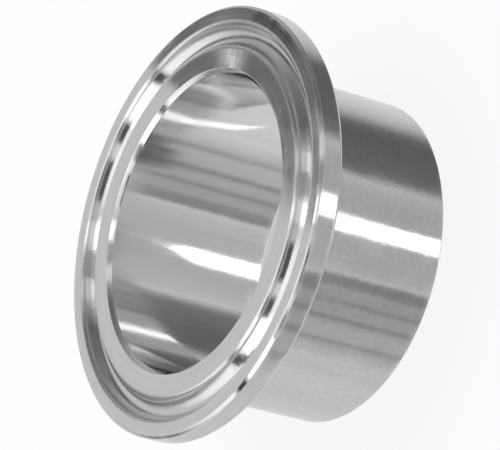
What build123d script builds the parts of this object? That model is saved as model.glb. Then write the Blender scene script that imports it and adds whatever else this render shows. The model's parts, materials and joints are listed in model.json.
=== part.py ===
from build123d import *
from math import radians, tan
import os

# Sanitary clamp ferrule for 1 1/2 inch tube, turned from one piece of stainless steel.
# Its axis is Z. The weld end stands on z = 0 and the sealing face looks up.

# Driving dimensions, in millimetres and degrees.
tube_diameter = 38.1
tube_wall = 1.65
overall_length = 21.5
flange_diameter = 50.5
rim_thickness = 2.85
back_taper_angle = 20.0
groove_pitch_diameter = 43.8
groove_section_radius = 1.3

# How the edges are broken: the radius of each round and the leg of each chamfer.
neck_round = 2.0
groove_shoulder_round = 0.4
bore_mouth_chamfer = 0.45
rim_chamfer = 0.3
weld_end_chamfer = 0.25

# Radii and heights that follow from them.
tube_radius = tube_diameter / 2
bore_radius = tube_radius - tube_wall
flange_radius = flange_diameter / 2
groove_pitch_radius = groove_pitch_diameter / 2
groove_inner_radius = groove_pitch_radius - groove_section_radius
groove_outer_radius = groove_pitch_radius + groove_section_radius
rim_bottom = overall_length - rim_thickness
neck_height = rim_bottom - (flange_radius - tube_radius) * tan(radians(back_taper_angle))

with BuildPart() as ferrule:
    # Half of the lengthwise section, in radius and height: the tube's wall, then the
    # back taper, the clamping rim and the sealing face.
    with BuildSketch(Plane.XZ) as section:
        with BuildLine():
            Polyline(
                (bore_radius, 0),
                (tube_radius, 0),
                (tube_radius, neck_height),
                (flange_radius, rim_bottom),
                (flange_radius, overall_length),
                (bore_radius, overall_length),
                close=True,
            )
        make_face()

        # The gasket's bead sits in a half-round groove, centred on the level of the face.
        with Locations((groove_pitch_radius, overall_length)):
            Circle(groove_section_radius, mode=Mode.SUBTRACT)

        def corner(radius, height):
            """The section's corner at this radius and height."""
            return section.vertices().sort_by_distance((radius, height))[0]

        fillet(corner(tube_radius, neck_height), neck_round)
        fillet(corner(groove_inner_radius, overall_length), groove_shoulder_round)
        fillet(corner(groove_outer_radius, overall_length), groove_shoulder_round)
        chamfer(corner(bore_radius, overall_length), bore_mouth_chamfer)
        chamfer(corner(flange_radius, overall_length), rim_chamfer)
        chamfer(corner(flange_radius, rim_bottom), rim_chamfer)
        chamfer(corner(tube_radius, 0), weld_end_chamfer)
        chamfer(corner(bore_radius, 0), weld_end_chamfer)

    revolve(axis=Axis.Z)

ferrule.part.label = "ferrule"

os.makedirs("parts", exist_ok=True)
export_step(ferrule.part, "parts/ferrule.step")
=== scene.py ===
import json
from math import asin, cos, degrees, pi, radians, sin, tan

import bmesh
import bpy
from mathutils import Matrix, Vector


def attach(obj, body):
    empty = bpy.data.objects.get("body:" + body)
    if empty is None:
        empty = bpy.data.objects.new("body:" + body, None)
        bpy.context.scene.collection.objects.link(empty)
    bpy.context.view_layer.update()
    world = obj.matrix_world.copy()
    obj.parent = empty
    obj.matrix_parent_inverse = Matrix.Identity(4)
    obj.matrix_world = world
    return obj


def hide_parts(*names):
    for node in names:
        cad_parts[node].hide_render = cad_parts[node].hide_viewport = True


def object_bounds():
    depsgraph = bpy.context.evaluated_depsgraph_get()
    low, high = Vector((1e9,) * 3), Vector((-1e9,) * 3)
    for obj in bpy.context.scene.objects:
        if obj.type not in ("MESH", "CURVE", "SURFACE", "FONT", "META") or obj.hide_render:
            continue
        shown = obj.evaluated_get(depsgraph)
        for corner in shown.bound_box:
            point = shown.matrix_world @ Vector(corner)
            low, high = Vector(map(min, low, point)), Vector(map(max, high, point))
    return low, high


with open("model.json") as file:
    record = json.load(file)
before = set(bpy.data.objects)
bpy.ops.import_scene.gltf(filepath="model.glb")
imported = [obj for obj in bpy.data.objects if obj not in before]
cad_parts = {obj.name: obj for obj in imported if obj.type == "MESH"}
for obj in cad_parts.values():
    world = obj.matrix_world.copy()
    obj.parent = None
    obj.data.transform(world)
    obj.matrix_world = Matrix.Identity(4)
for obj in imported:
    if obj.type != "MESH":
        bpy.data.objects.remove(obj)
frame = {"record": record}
cad_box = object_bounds()

MM = 0.001


def mount_radius(name):
    """The radius, in metres, that the frame's record gives for a round mount."""
    mount = next(m for m in frame["record"]["mounts"] if m["name"] == name)
    return mount["dims"]["r_mm"] * MM


# ---------------------------------------------------------------- sizes, in metres

BORE_RADIUS = mount_radius("flow_bore")
TUBE_RADIUS = mount_radius("tube_outside")
FLANGE_RADIUS = mount_radius("clamp_rim")
TOP = cad_box[1].z
RIM_THICKNESS = 2.85 * MM
BACK_TAPER = radians(20)
NECK_ROUND = 2.0 * MM
GROOVE_PITCH_RADIUS = 21.9 * MM
GROOVE_SECTION_RADIUS = 1.3 * MM
GROOVE_SHOULDER_ROUND = 0.4 * MM
BORE_MOUTH_CHAMFER = 0.45 * MM
RIM_CHAMFER = 0.3 * MM
WELD_END_CHAMFER = 0.25 * MM
EDGE_SOFTENING = 0.05 * MM
MERGE_DISTANCE = 1e-7
SHARP_EDGE = radians(20)

# Steps round the turned body, and along each round of its section.
TURNS = 360
NECK_STEPS = 18
SHOULDER_STEPS = 14
GROOVE_STEPS = 36


# ---------------------------------------------------------------- camera

CAMERA_TILT = radians(58.40)
CAMERA_ROLL = radians(-74.71)
FACE_CENTRE_SEEN = Vector((-6.621, 0.515, -428.72)) * MM
LENS = 272.1
SENSOR_WIDTH = 36


def camera_place():
    """Where the camera stands and how it is turned: above the face, rolled over."""
    backward = Vector((0, -sin(CAMERA_TILT), cos(CAMERA_TILT)))
    level_right = Vector((1, 0, 0))
    level_up = backward.cross(level_right)
    right = cos(CAMERA_ROLL) * level_right + sin(CAMERA_ROLL) * level_up
    up = cos(CAMERA_ROLL) * level_up - sin(CAMERA_ROLL) * level_right
    turn = Matrix((right, up, backward)).transposed()
    return Vector((0, 0, TOP)) - turn @ FACE_CENTRE_SEEN, turn


def add_camera():
    """The scene's camera."""
    data = bpy.data.cameras.new("camera")
    data.sensor_width = SENSOR_WIDTH
    data.lens = LENS
    camera = bpy.data.objects.new("camera", data)
    place, turn = camera_place()
    camera.matrix_world = Matrix.Translation(place) @ turn.to_4x4()
    bpy.context.collection.objects.link(camera)
    bpy.context.scene.camera = camera


# ---------------------------------------------------------------- the turned body

def arc(centre, radius, start, end, steps):
    """Points of an arc in the lengthwise section, from start to end in degrees."""
    points = []
    for step in range(steps + 1):
        angle = radians(start + (end - start) * step / steps)
        points.append((centre[0] + radius * cos(angle), centre[1] + radius * sin(angle)))
    return points


def section():
    """Half of the lengthwise section as (radius, height), round from the bore's weld end."""
    rim_bottom = TOP - RIM_THICKNESS
    neck = rim_bottom - (FLANGE_RADIUS - TUBE_RADIUS) * tan(BACK_TAPER)
    taper_degrees = degrees(BACK_TAPER)

    chamfer = WELD_END_CHAMFER
    points = [
        (BORE_RADIUS, chamfer),
        (BORE_RADIUS + chamfer, 0),
        (TUBE_RADIUS - chamfer, 0),
        (TUBE_RADIUS, chamfer),
    ]

    neck_run = NECK_ROUND * tan((pi / 2 - BACK_TAPER) / 2)
    neck_centre = (TUBE_RADIUS + NECK_ROUND, neck - neck_run)
    points += arc(neck_centre, NECK_ROUND, 180, 90 + taper_degrees, NECK_STEPS)

    chamfer = RIM_CHAMFER
    points += [
        (FLANGE_RADIUS - chamfer * cos(BACK_TAPER), rim_bottom - chamfer * sin(BACK_TAPER)),
        (FLANGE_RADIUS, rim_bottom + chamfer),
        (FLANGE_RADIUS, TOP - chamfer),
        (FLANGE_RADIUS - chamfer, TOP),
    ]

    across = GROOVE_SECTION_RADIUS + GROOVE_SHOULDER_ROUND
    lean = degrees(asin(GROOVE_SHOULDER_ROUND / across))
    reach = across * cos(radians(lean))
    shoulder_height = TOP - GROOVE_SHOULDER_ROUND
    outer = (GROOVE_PITCH_RADIUS + reach, shoulder_height)
    inner = (GROOVE_PITCH_RADIUS - reach, shoulder_height)
    bottom = (GROOVE_PITCH_RADIUS, TOP)
    points += arc(outer, GROOVE_SHOULDER_ROUND, 90, 180 - lean, SHOULDER_STEPS)
    points += arc(bottom, GROOVE_SECTION_RADIUS, -lean, lean - 180, GROOVE_STEPS)[1:]
    points += arc(inner, GROOVE_SHOULDER_ROUND, lean, 90, SHOULDER_STEPS)[1:]

    chamfer = BORE_MOUTH_CHAMFER
    points += [(BORE_RADIUS + chamfer, TOP), (BORE_RADIUS, TOP - chamfer)]
    return points


def make_ferrule():
    """Spins the section round the axis and softens the chamfers' edges."""
    shape = bmesh.new()
    ring = [shape.verts.new((radius, 0, height)) for radius, height in section()]
    edges = [shape.edges.new((a, b)) for a, b in zip(ring, ring[1:] + ring[:1])]
    bmesh.ops.spin(
        shape, geom=ring + edges, cent=(0, 0, 0), axis=(0, 0, 1),
        angle=2 * pi, steps=TURNS, use_merge=True,
    )
    bmesh.ops.remove_doubles(shape, verts=shape.verts, dist=MERGE_DISTANCE)
    bmesh.ops.recalc_face_normals(shape, faces=shape.faces)

    sharp = [edge for edge in shape.edges if edge.calc_face_angle() > SHARP_EDGE]
    bmesh.ops.bevel(
        shape, geom=sharp, affect="EDGES", offset=EDGE_SOFTENING,
        segments=3, profile=0.5, material=-1,
    )
    for face in shape.faces:
        face.smooth = True

    mesh = bpy.data.meshes.new("turned_ferrule")
    shape.to_mesh(mesh)
    shape.free()
    piece = bpy.data.objects.new("turned_ferrule", mesh)
    bpy.context.collection.objects.link(piece)
    normals = piece.modifiers.new("flat_stays_flat", "WEIGHTED_NORMAL")
    normals.mode = "FACE_AREA"
    return piece


# ---------------------------------------------------------------- shader helpers

def add_node(tree, kind, inputs=None, **settings):
    """Adds a node; an input is given a number or colour, or the output that feeds it."""
    node = tree.nodes.new("ShaderNode" + kind)
    for name, value in settings.items():
        setattr(node, name, value)
    for name, value in (inputs or {}).items():
        if isinstance(value, bpy.types.NodeSocket):
            tree.links.new(value, node.inputs[name])
        else:
            node.inputs[name].default_value = value
    return node


def maths(tree, operation, *values):
    """One Math node's result."""
    return add_node(tree, "Math", dict(enumerate(values)), operation=operation).outputs[0]


def spread(tree, value, low, high, to_low=0.0, to_high=1.0, smooth=False):
    """Maps low..high of a value onto to_low..to_high, and holds it there outside."""
    inputs = {
        "Value": value, "From Min": low, "From Max": high, "To Min": to_low, "To Max": to_high,
    }
    kind = "SMOOTHSTEP" if smooth else "LINEAR"
    return add_node(tree, "MapRange", inputs, interpolation_type=kind).outputs["Result"]


def blend(tree, factor, first, second):
    """A colour between two colours."""
    node = add_node(tree, "Mix", data_type="RGBA")
    sockets = (node.inputs[0], node.inputs[6], node.inputs[7])
    for socket, value in zip(sockets, (factor, first, second)):
        if isinstance(value, bpy.types.NodeSocket):
            tree.links.new(value, socket)
        else:
            socket.default_value = value
    return node.outputs[2]


def mix(tree, factor, first, second):
    """A number between two numbers."""
    node = add_node(tree, "Mix", {0: factor, 2: first, 3: second}, data_type="FLOAT")
    return node.outputs[0]


def noise(tree, place, scale, detail):
    """Cloudy noise, from 0 to 1."""
    inputs = {"Vector": place, "Scale": scale, "Detail": detail}
    return add_node(tree, "TexNoise", inputs).outputs[0]


def multiply_each(tree, vector, shares):
    """A vector or colour with each part multiplied by its own share."""
    return add_node(tree, "VectorMath", {0: vector, 1: shares}, operation="MULTIPLY").outputs[0]


def length(tree, vector):
    """A vector's length."""
    return add_node(tree, "VectorMath", {0: vector}, operation="LENGTH").outputs["Value"]


def add_share(tree, total, value, share):
    """A total with a share of a value added."""
    return maths(tree, "MULTIPLY_ADD", value, share, total)


NOISE_MIDDLE = 0.5


def off_middle(tree, value):
    """How far a noise is from its middle."""
    return maths(tree, "SUBTRACT", value, NOISE_MIDDLE)


def grey(level):
    """A grey as a colour."""
    return (level, level, level, 1)


# ---------------------------------------------------------------- materials

# The greys that the steel's colour runs between, and what moves it there.
DARKEST_STEEL = 0.44
LIGHTEST_STEEL = 0.80
MIDDLE_TONE = 0.5
BLOTCH_TONE = 0.17
LINE_TONE = 0.23
GRAIN_TONE = 0.34
WEAR_TONE = 0.17
# The bore's share is painted light: it makes the bore's steel lighter so that its reflections
# come out brighter.
BORE_PAINTED_LIGHT = 0.26

# The gloss is drawn out across the turning lines, which run round the axis.
ANISOTROPY = 0.9
ACROSS_THE_LINES = 0.25

# The polish runs between two values of roughness, and the rest is added to it.
BEST_POLISH = 0.09
DULLEST_POLISH = 0.13
GROOVE_DULLNESS = 0.03
SHOULDER_DULLNESS = 0.14
LINE_DULLNESS = 0.06
HAIRLINE_DULLNESS = 0.02
WEAR_DULLNESS = 0.10

# How fine the marks of making and handling are, as repeats in each metre.
TURNING_ROUND = 40.0
TURNING_ALONG = 2600.0
DRAWING = (900.0, 900.0, 22.0)
BLOTCHES = 350.0
GRAIN = 1500.0
RUBBING = (60.0, 2600.0, 60.0)
RUBBING_TURN = (0.7, 0.3, 0.5)

# The depth of a full bump in metres, and each mark's share of it: first on the flange,
# then on the tube where there are two.
BUMP_DEPTH = 1e-5
LINE_DEPTHS = (0.22, 0.5)
BLOTCH_DEPTHS = (0.35, 1.6)
GRAIN_DEPTHS = (0.12, 0.35)
SHARE_LEFT_IN_BORE = 0.55
GROOVE_WAVES = 2.2
WEAR_DEPTH = -0.5

# Where each finish starts and where it is full: as heights, radii, distances from the
# groove's pitch radius, or values of a noise.
TUBE_HEIGHTS = (16.0 * MM, 15.2 * MM)
BORE_RADII = (BORE_RADIUS + 0.2 * MM, BORE_RADIUS + 0.1 * MM)
GROOVE_WIDTHS = (1.7 * MM, 1.3 * MM)
GROOVE_HEIGHTS = (19.5 * MM, 20.0 * MM)
SHOULDER_INNER_WIDTHS = (1.22 * MM, 1.38 * MM)
SHOULDER_OUTER_WIDTHS = (1.80 * MM, 1.68 * MM)
SHOULDER_HEIGHTS = (20.4 * MM, 20.7 * MM)
WEAR_DISTANCES = (0.9 * MM, 0.25 * MM)
WEAR_BREAKS = (0.42, 0.62)
HAIRLINE_BREAKS = (0.64, 0.70)
BLOTCH_SPAN = (0.3, 0.7)


def edge_wear(tree, radius, height, uneven):
    """A band along each turned edge where handling has dulled it, broken up by a noise."""
    edges = [
        (FLANGE_RADIUS, TOP), (FLANGE_RADIUS, TOP - RIM_THICKNESS), (BORE_RADIUS, TOP),
        (BORE_RADIUS, 0.0), (TUBE_RADIUS, 0.0),
    ]
    nearest = None
    for edge_radius, edge_height in edges:
        across = maths(tree, "SUBTRACT", radius, edge_radius)
        down = maths(tree, "SUBTRACT", height, edge_height)
        down_squared = maths(tree, "MULTIPLY", down, down)
        distance = maths(tree, "SQRT", maths(tree, "MULTIPLY_ADD", across, across, down_squared))
        nearest = distance if nearest is None else maths(tree, "MINIMUM", nearest, distance)
    band = spread(tree, nearest, *WEAR_DISTANCES)
    return maths(tree, "MULTIPLY", band, spread(tree, uneven, *WEAR_BREAKS))


def finish_zones(tree, radius, height):
    """Shares for the tube with its bore, the bore, the groove and the groove's shoulders."""
    in_bore = spread(tree, radius, *BORE_RADII)
    on_tube = maths(tree, "MAXIMUM", spread(tree, height, *TUBE_HEIGHTS), in_bore)

    from_pitch = maths(tree, "SUBTRACT", radius, GROOVE_PITCH_RADIUS)
    from_pitch = maths(tree, "ABSOLUTE", from_pitch)
    in_groove = spread(tree, from_pitch, *GROOVE_WIDTHS)
    in_groove = maths(tree, "MULTIPLY", in_groove, spread(tree, height, *GROOVE_HEIGHTS))

    inner = spread(tree, from_pitch, *SHOULDER_INNER_WIDTHS)
    outer = spread(tree, from_pitch, *SHOULDER_OUTER_WIDTHS)
    on_shoulder = maths(tree, "MULTIPLY", outer, spread(tree, height, *SHOULDER_HEIGHTS))
    on_shoulder = maths(tree, "MULTIPLY", inner, on_shoulder)
    return on_tube, in_bore, in_groove, on_shoulder


def turning_lines(tree, split, radius, height):
    """Lines round the axis, close together along the section of the flange."""
    place = add_node(tree, "CombineXYZ", {
        "X": maths(tree, "MULTIPLY", split.outputs["X"], TURNING_ROUND),
        "Y": maths(tree, "MULTIPLY", split.outputs["Y"], TURNING_ROUND),
        "Z": maths(tree, "MULTIPLY", maths(tree, "ADD", radius, height), TURNING_ALONG),
    })
    return noise(tree, place.outputs[0], 1.0, detail=2.0)


def rubbed_hairlines(tree, place):
    """A few straight scratches across everything."""
    rubbed = add_node(tree, "Mapping", {
        "Vector": place, "Rotation": RUBBING_TURN, "Scale": RUBBING,
    })
    return spread(tree, noise(tree, rubbed.outputs[0], 1.0, detail=0.0), *HAIRLINE_BREAKS)


def polished_steel():
    """Polished stainless steel: turned face and groove, drawn tube, handled edges, and painted
    light in the bore.
    """
    material = bpy.data.materials.new("polished_stainless")
    material.use_nodes = True
    tree = material.node_tree
    shader = tree.nodes["Principled BSDF"]
    shader.inputs["Metallic"].default_value = 1
    shader.inputs["Anisotropic"].default_value = ANISOTROPY
    shader.inputs["Anisotropic Rotation"].default_value = ACROSS_THE_LINES
    tangent = add_node(tree, "Tangent", direction_type="RADIAL", axis="Z")
    tree.links.new(tangent.outputs["Tangent"], shader.inputs["Tangent"])

    place = add_node(tree, "TexCoord").outputs["Object"]
    split = add_node(tree, "SeparateXYZ", {0: place})
    height = split.outputs["Z"]
    radius = length(tree, multiply_each(tree, place, (1, 1, 0)))
    on_tube, in_bore, in_groove, on_shoulder = finish_zones(tree, radius, height)

    turned = turning_lines(tree, split, radius, height)
    drawn = noise(tree, multiply_each(tree, place, DRAWING), 1.0, detail=3.0)
    lines = mix(tree, on_shoulder, mix(tree, on_tube, turned, drawn), NOISE_MIDDLE)
    blotch = noise(tree, place, BLOTCHES, detail=3.0)
    grain = noise(tree, place, GRAIN, detail=2.0)
    hairlines = rubbed_hairlines(tree, place)
    worn = edge_wear(tree, radius, height, blotch)

    bumps = maths(tree, "MULTIPLY", lines, mix(tree, on_tube, *LINE_DEPTHS))
    bumps = add_share(tree, bumps, blotch, mix(tree, on_tube, *BLOTCH_DEPTHS))
    bumps = add_share(tree, bumps, grain, mix(tree, on_tube, *GRAIN_DEPTHS))
    bumps = maths(tree, "MULTIPLY", bumps, mix(tree, in_bore, 1.0, SHARE_LEFT_IN_BORE))
    bumps = add_share(tree, bumps, maths(tree, "MULTIPLY", blotch, in_groove), GROOVE_WAVES)
    bumps = add_share(tree, bumps, worn, WEAR_DEPTH)
    bump = add_node(tree, "Bump", {"Strength": 1.0, "Distance": BUMP_DEPTH, "Height": bumps})
    tree.links.new(bump.outputs["Normal"], shader.inputs["Normal"])

    roughness = spread(tree, blotch, *BLOTCH_SPAN, BEST_POLISH, DULLEST_POLISH)
    roughness = add_share(tree, roughness, in_groove, GROOVE_DULLNESS)
    roughness = add_share(tree, roughness, on_shoulder, SHOULDER_DULLNESS)
    roughness = add_share(tree, roughness, off_middle(tree, lines), LINE_DULLNESS)
    roughness = add_share(tree, roughness, hairlines, HAIRLINE_DULLNESS)
    roughness = add_share(tree, roughness, worn, WEAR_DULLNESS)
    tree.links.new(roughness, shader.inputs["Roughness"])

    tube_outside = maths(tree, "SUBTRACT", on_tube, in_bore)
    mottle = maths(tree, "MULTIPLY", off_middle(tree, grain), tube_outside)
    tone = add_share(tree, MIDDLE_TONE, off_middle(tree, blotch), BLOTCH_TONE)
    tone = add_share(tree, tone, off_middle(tree, lines), LINE_TONE)
    tone = add_share(tree, tone, mottle, GRAIN_TONE)
    tone = add_share(tree, tone, worn, WEAR_TONE)
    # Painted light: the bore's steel is made lighter, which brightens its reflections.
    tone = add_share(tree, tone, in_bore, BORE_PAINTED_LIGHT)
    colour = blend(tree, tone, grey(DARKEST_STEEL), grey(LIGHTEST_STEEL))
    tree.links.new(colour, shader.inputs["Base Color"])
    return material


def card_material(name, level):
    """A plain card that gives off one level of light."""
    material = bpy.data.materials.new(name)
    material.use_nodes = True
    tree = material.node_tree
    tree.nodes.clear()
    glow = add_node(tree, "Emission", {"Color": grey(1), "Strength": level})
    add_node(tree, "OutputMaterial", {"Surface": glow.outputs[0]})
    return material


MATT_FLOOR = 0.9
# The floor's greys inside the bore's footprint are painted shade, darker than the rest of the
# floor.
MATT_FLOOR_PAINTED_SHADE = 0.55
WHITE_FLOOR_PAINTED_SHADE = 0.62
BORE_SHADE_WIDTH = 1.2 * MM
WHITE_SHARE = 0.82


def floor_material():
    """White to the camera, with painted shade making it greyer inside the bore, and matt enough
    to take the shadow.
    """
    material = bpy.data.materials.new("pale_floor")
    material.use_nodes = True
    tree = material.node_tree
    tree.nodes.clear()
    from_axis = length(tree, add_node(tree, "TexCoord").outputs["Object"])
    # Painted shade: the floor inside the bore's footprint gets a darker colour.
    inside = spread(tree, from_axis, BORE_RADIUS + BORE_SHADE_WIDTH, BORE_RADIUS)
    matt_colour = blend(tree, inside, grey(MATT_FLOOR), grey(MATT_FLOOR_PAINTED_SHADE))
    matt = add_node(tree, "BsdfDiffuse", {"Color": matt_colour})
    white_colour = blend(tree, inside, grey(1), grey(WHITE_FLOOR_PAINTED_SHADE))
    white = add_node(tree, "Emission", {"Color": white_colour, "Strength": 1})

    path = add_node(tree, "LightPath").outputs
    seen = maths(tree, "MAXIMUM", path["Is Camera Ray"], path["Is Transmission Ray"])
    seen = maths(tree, "MAXIMUM", seen, path["Is Glossy Ray"])
    share = maths(tree, "MULTIPLY", seen, WHITE_SHARE)
    mixed = add_node(tree, "MixShader", {0: share, 1: matt.outputs[0], 2: white.outputs[0]})
    add_node(tree, "OutputMaterial", {"Surface": mixed.outputs[0]})
    return material


# ---------------------------------------------------------------- studio

FLOOR_HALF_SIZE = 2.0
LAMP_SIZE = 1.2
LAMP_ENERGY = 5
LAMP_PLACE = Vector((0.5, 0.4, 1.5))


def add_flat_shape(name, corners, material):
    """A flat stage piece with the given corners."""
    shape = bmesh.new()
    shape.faces.new([shape.verts.new(corner) for corner in corners])
    mesh = bpy.data.meshes.new(name)
    shape.to_mesh(mesh)
    shape.free()
    piece = bpy.data.objects.new(name, mesh)
    bpy.context.collection.objects.link(piece)
    piece.data.materials.append(material)
    return piece


def add_floor():
    """The floor, which the steel doesn't mirror."""
    reach = FLOOR_HALF_SIZE
    corners = [(-reach, -reach, 0), (reach, -reach, 0), (reach, reach, 0), (-reach, reach, 0)]
    floor = add_flat_shape("floor", corners, floor_material())
    floor.visible_glossy = False


def add_card(name, corners, level):
    """A card that only the polished steel mirrors."""
    card = add_flat_shape(name, corners, card_material(name, level))
    card.visible_camera = False
    card.visible_diffuse = False
    card.visible_transmission = False
    card.visible_shadow = False


def over_face(x, y, height):
    """The place at a height over the sealing face that the face's point x, y mirrors."""
    eye = camera_place()[0]
    point = Vector((x * MM, y * MM, TOP))
    ray = point - eye
    ray.z = -ray.z
    return point + ray * (height * MM / ray.z)


def under_bore(bearing, height, depth):
    """The place at a depth under the floor that a point of the bore's far wall mirrors."""
    eye = camera_place()[0]
    outward = Vector((sin(radians(bearing)), -cos(radians(bearing)), 0))
    point = outward * BORE_RADIUS + Vector((0, 0, height * MM))
    ray = (point - eye).reflect(outward)
    return point - ray * ((point.z + depth * MM) / ray.z)


# Cards over the sealing face: the part of the face that mirrors each, in mm, the height
# over the face and the level.
FACE_CARDS = [
    ("dark_card", [(1.9, -30), (19.9, 30), (40, 30), (40, -30)], 60, 0.20),
    ("deep_card", [(20.8, -14), (21.4, -2), (29, -1), (29, -18)], 59, 0.06),
    ("glint_card", [(17.2, -0.8), (17.4, 2.6), (20.6, 3.8), (20.6, -1.4)], 59, 1.5),
]

# Cards under the bore's open end: the part of the bore that mirrors each, as bearing in
# degrees and height in mm, the depth under the floor and the level.
BORE_CARDS = [
    ("lamp_end_card", [
        (187.4, 9.9), (192.9, 13.7), (196.3, 9.9), (198.5, 11.5), (198, 20), (186.5, 20),
        (186.3, 12),
    ], 0.3, 0.56),
    ("dark_patch_card", [(154, 16.8), (163.5, 17.3), (163, 19.6), (155, 18.7)], 0.3, 0.12),
    ("streak_card", [(137.4, 15.4), (140.8, 15.8), (135.2, 11.3), (131.8, 8.3)], 1.5, 1.7),
]

# The studio that the steel mirrors is made of strips, each with its level; levels run
# evenly between them. Bearings are in degrees from the camera's side towards +X.
# Below the horizon the strips stand upright.
STRIPS_BELOW = [
    (-180, .82), (-150, .76), (-100, .82), (-72, .76), (-62, .60), (-48, .56), (-34, .49),
    (-22, .45), (-12, .52), (-5, .62), (1, .58), (16, .57), (19.6, .60), (20.7, 2.4),
    (31.4, 2.4), (32.6, .60), (37, .555), (50, .57), (58, .64), (62, .56), (67, .24),
    (75, .19), (97, .15), (110, .18), (123, .62), (136, .80), (180, .82),
]
# Thin lines across those strips, as shares of their level.
LINES_BELOW = [
    (-180, 1), (-61, 1), (-58.5, .70), (-56, .70), (-54, 1), (-42.5, 1), (-41, .60),
    (-38.5, .60), (-37, 1), (-30, 1), (-28.5, .72), (-26.5, .72), (-25, 1), (-19, 1),
    (-17, .68), (-13, .60), (-10, .60), (-8.5, 1.15), (-7, 1.15), (-4.5, 1), (57, 1),
    (59, 1.12), (61.5, 1.12), (63, 1), (180, 1),
]
# Above it they fan out from one point low behind the object.
STRIPS_ABOVE = [
    (-180, .85), (-125, .85), (-105, .55), (-80, .75), (-60, 1.3), (-43.8, 1.5), (-42.9, .08),
    (-38.4, .08), (-37.4, 2.0), (-24.5, 2.0), (-23, .12), (-17, .10), (-15.5, 1.0),
    (-11.5, 1.0), (-10, .12), (1, .10), (3, .80), (7, .60), (8, .95), (15, .95), (16.5, .45),
    (24, .40), (25.5, .80), (31, .80), (33, .45), (40, .17), (60, .28), (75, .50), (90, .52),
    (130, .30), (152, .80), (180, .85),
]
# The same fan near the horizon and overhead.
STRIPS_AROUND = [
    (-180, .95), (-125, .95), (-105, .80), (-80, 1.1), (-60, 1.4), (-43.8, 1.5), (-42.9, .12),
    (-38.4, .12), (-37.4, 2.0), (-24, 2.0), (-22, 1.3), (-11, 1.5), (1, 1.3), (4, .90),
    (7.5, .90), (8.5, 2.4), (14.5, 2.4), (16, .55), (24, .50), (25.5, 1.2), (31, 1.2),
    (33, .60), (45, .32), (60, .28), (75, .50), (90, .60), (130, .50), (152, .90), (180, .95),
]
# What the flat faces mirror, and how wide round that direction it reaches.
FACE_MIRRORS = 0.80
FACE_MIRRORS_WIDTHS = (0.12, 0.30)

# Heights of direction, from -1 straight down to 1 straight up, where one part of the
# studio gives way to the next.
BELOW_TO_ABOVE = (-0.42, -0.24)
FAN_TO_HORIZON = (0.16, 0.06)
FAN_TO_OVERHEAD = (0.80, 0.90)

# One long dark line across the fan, by height and by bearing in degrees.
LONG_LINE = 0.34
LONG_LINE_FOOT = (-0.10, 0.10)
LONG_LINE_HEAD = (0.50, 0.28)
LONG_LINE_START = (-105, -92)
LONG_LINE_END = (-40, -66)

# What everything else than the camera and the steel gets from the world.
PLAIN_LIGHT = 0.9


def strip_levels(tree, bearing, strips):
    """The colour of the strip at a bearing, from a ramp that goes once round."""
    share = spread(tree, bearing, -pi, pi)
    ramp = add_node(tree, "ValToRGB", {"Fac": share})
    stops = ramp.color_ramp.elements
    stops.remove(stops[-1])
    for index, (place, level) in enumerate(strips):
        position = (place + 180) / 360
        stop = stops[0] if index == 0 else stops.new(position)
        stop.position = position
        stop.color = grey(level)
    return ramp.outputs["Color"]


def bearing_of(tree, direction):
    """The bearing of a direction, and its height."""
    split = add_node(tree, "SeparateXYZ", {0: direction})
    backward = maths(tree, "MULTIPLY", split.outputs["Y"], -1.0)
    return maths(tree, "ARCTAN2", split.outputs["X"], backward), split.outputs["Z"]


def long_line_share(tree, height, fan_bearing):
    """How much of the long dark line there is at a height and a bearing of the fan."""
    foot = spread(tree, height, *LONG_LINE_FOOT, smooth=True)
    head = spread(tree, height, *LONG_LINE_HEAD, smooth=True)
    start = spread(tree, fan_bearing, *(radians(bearing) for bearing in LONG_LINE_START))
    end = spread(tree, fan_bearing, *(radians(bearing) for bearing in LONG_LINE_END))
    return maths(
        tree, "MULTIPLY", maths(tree, "MINIMUM", foot, head),
        maths(tree, "MINIMUM", start, end))


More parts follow.
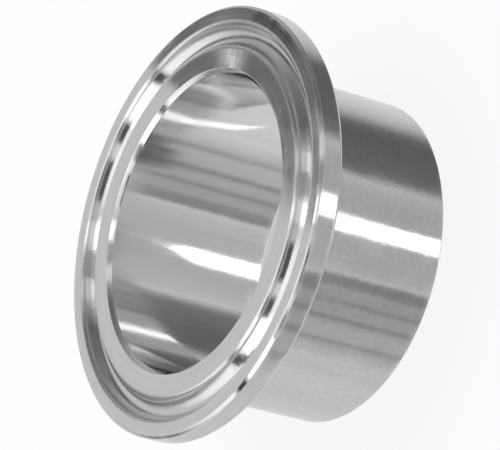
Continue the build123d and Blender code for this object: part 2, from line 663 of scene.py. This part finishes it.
def studio_colour(tree):
    """What the steel mirrors in each direction."""
    direction = add_node(tree, "TexCoord").outputs["Generated"]
    bearing, height = bearing_of(tree, direction)
    below = strip_levels(tree, bearing, STRIPS_BELOW)
    below = multiply_each(tree, below, strip_levels(tree, bearing, LINES_BELOW))

    fan_point = Vector((0, sin(CAMERA_TILT), -cos(CAMERA_TILT)))
    away = add_node(tree, "VectorMath", {0: direction, 1: fan_point}, operation="SUBTRACT")
    away = away.outputs[0]
    fan_bearing = bearing_of(tree, away)[0]
    overhead = spread(tree, height, *FAN_TO_OVERHEAD, smooth=True)
    horizon = spread(tree, height, *FAN_TO_HORIZON, smooth=True)
    around = maths(tree, "MAXIMUM", overhead, horizon)
    fan = blend(
        tree, around, strip_levels(tree, fan_bearing, STRIPS_ABOVE),
        strip_levels(tree, fan_bearing, STRIPS_AROUND))
    fan = blend(tree, long_line_share(tree, height, fan_bearing), fan, grey(LONG_LINE))

    width = length(tree, multiply_each(tree, away, (1, 1, 0)))
    open_fan = spread(tree, width, *FACE_MIRRORS_WIDTHS, smooth=True)
    above = blend(tree, open_fan, grey(FACE_MIRRORS), fan)
    return blend(tree, spread(tree, height, *BELOW_TO_ABOVE, smooth=True), below, above)


def add_world():
    """White to the camera, plain to the floor, and the studio to the steel."""
    world = bpy.data.worlds.new("studio")
    world.use_nodes = True
    bpy.context.scene.world = world
    tree = world.node_tree
    tree.nodes.clear()
    path = add_node(tree, "LightPath").outputs
    mirrored = blend(tree, path["Is Glossy Ray"], grey(PLAIN_LIGHT), studio_colour(tree))
    seen = maths(tree, "MAXIMUM", path["Is Camera Ray"], path["Is Transmission Ray"])
    background = add_node(tree, "Background", {"Color": blend(tree, seen, mirrored, grey(1))})
    add_node(tree, "OutputWorld", {"Surface": background.outputs[0]})


def add_lamp():
    """One wide soft lamp overhead, for the shadow on the floor."""
    data = bpy.data.lights.new("soft_lamp", "AREA")
    data.shape = "DISK"
    data.size = LAMP_SIZE
    data.energy = LAMP_ENERGY
    lamp = bpy.data.objects.new("soft_lamp", data)
    turn = LAMP_PLACE.to_track_quat("Z", "Y").to_matrix().to_4x4()
    lamp.matrix_world = Matrix.Translation(LAMP_PLACE) @ turn
    lamp.visible_glossy = False
    bpy.context.collection.objects.link(lamp)


add_camera()
add_floor()
add_world()
add_lamp()
for card_name, place, height, level in FACE_CARDS:
    add_card(card_name, [over_face(x, y, height) for x, y in place], level)
for card_name, place, depth, level in BORE_CARDS:
    corners = [under_bore(bearing, height, depth) for bearing, height in place]
    add_card(card_name, corners, level)

ferrule = make_ferrule()
ferrule.data.materials.append(polished_steel())
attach(ferrule, "root")
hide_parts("ferrule")

bpy.context.scene.view_settings.view_transform = "Standard"
